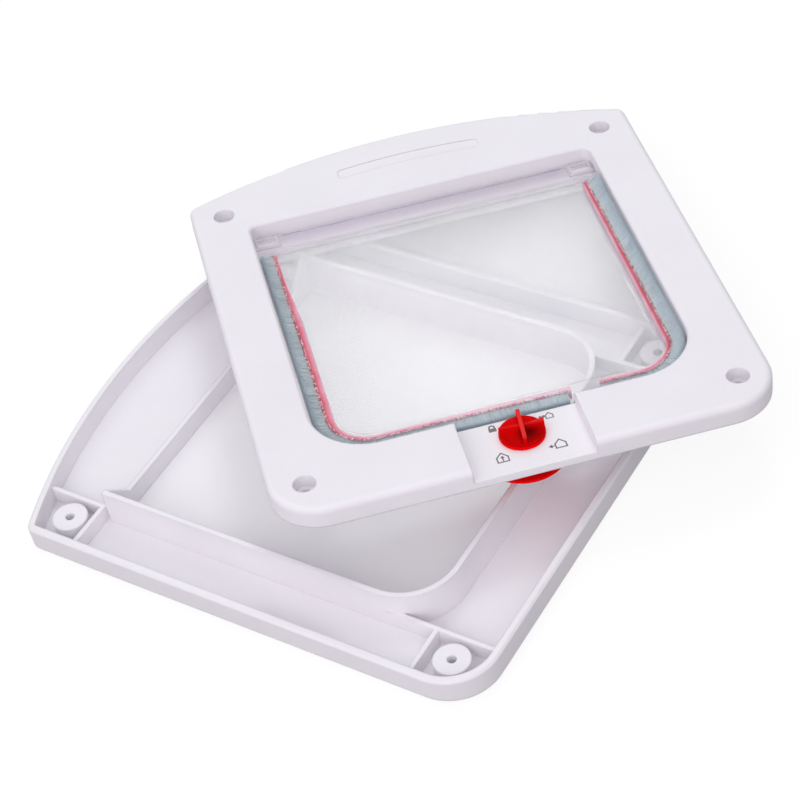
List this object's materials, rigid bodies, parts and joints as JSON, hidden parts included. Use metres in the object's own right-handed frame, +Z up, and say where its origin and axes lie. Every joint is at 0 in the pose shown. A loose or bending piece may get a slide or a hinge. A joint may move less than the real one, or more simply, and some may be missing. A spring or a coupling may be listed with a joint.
{
  "type": "cat flap",
  "caption": "White plastic cat flap in two arched halves, the inner one with a clear swinging flap, brush seal and red four-way lock, lying on the ribbed outer half.",
  "frame": {"origin": "centre of the outer half's four screw posts, level with their tops, 9.5 mm above the floor it lies on", "axes": "+X across the outer half's doorway towards the side the inner half overhangs, +Y towards its arched edge, +Z up from the floor"},
  "size_m": [0.2896, 0.2649, 0.0472],
  "materials": {
    "white_plastic": "satin moulded",
    "clear_plastic": "clear moulded plastic",
    "seal_backing": "woven carrier strip",
    "seal_pile": "brush pile",
    "red_plastic": "moulded",
    "zinc_steel": "zinc plated"
  },
  "bodies": {
    "frames": {"back_frame": "white_plastic", "front_frame": "white_plastic"},
    "flap": {"flap": "clear_plastic", "seal_backing_left": "seal_backing", "seal_backing_right": "seal_backing", "pile_seal_left": "seal_pile", "pile_seal_right": "seal_pile"},
    "lock": {"lock_knob": "red_plastic", "lock_cam": "red_plastic", "lock_screw": "zinc_steel"}
  },
  "joints": [
    {"name": "flap_hinge", "type": "hinge", "parent": "frames", "child": "flap", "pos_m": [0.10875, 0.0339, 0.01549], "axis": [-0.6999, 0.712, 0.0564], "range_deg": [0, 100]},
    {"name": "lock_dial", "type": "hinge", "parent": "frames", "child": "lock", "pos_m": [0.00179, -0.07213, 0.02681], "axis": [0.0803, 0, 0.9968], "range_deg": [-90, 180]}
  ]
}
